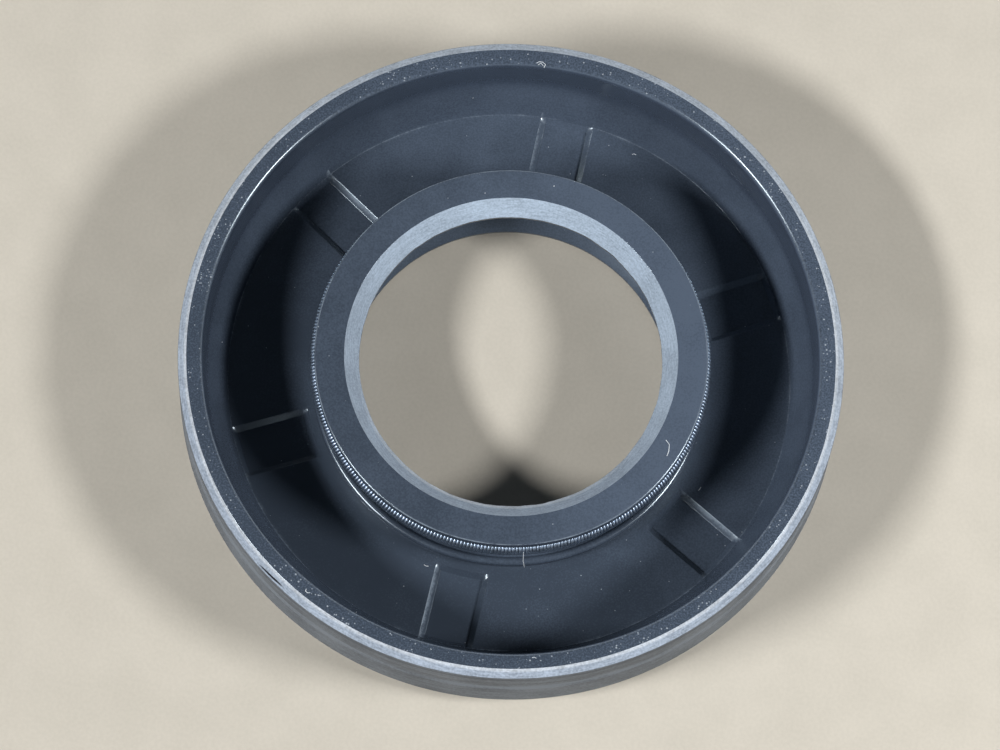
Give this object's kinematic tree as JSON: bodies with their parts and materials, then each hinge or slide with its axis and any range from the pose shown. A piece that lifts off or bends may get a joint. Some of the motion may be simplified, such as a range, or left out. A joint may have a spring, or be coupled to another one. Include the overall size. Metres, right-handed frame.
{
  "type": "rotary shaft seal",
  "caption": "Rubber-covered rotary shaft seal with a garter spring behind the sealing lip and a dust lip, pressed into a housing to hold oil around a shaft.",
  "frame": {"origin": "on the seal's axis, in the plane of the flat back face on the air side", "axes": "+Z along the axis towards the oil side, where the spring is; +X midway between two of the floor's pockets"},
  "size_m": [0.072, 0.072, 0.012],
  "materials": {
    "rubber": "matt moulded nitrile rubber, charcoal with a faint blue bloom",
    "ring_steel": "pressed sheet steel, phosphated",
    "spring_steel": "drawn spring wire, dull",
    "lint": "loose pale lint, hairs and dust that lie on the rubber"
  },
  "bodies": {
    "root": {"rubber_body": "rubber", "stiffening_ring": "ring_steel", "garter_spring": "spring_steel"}
  },
  "joints": []
}
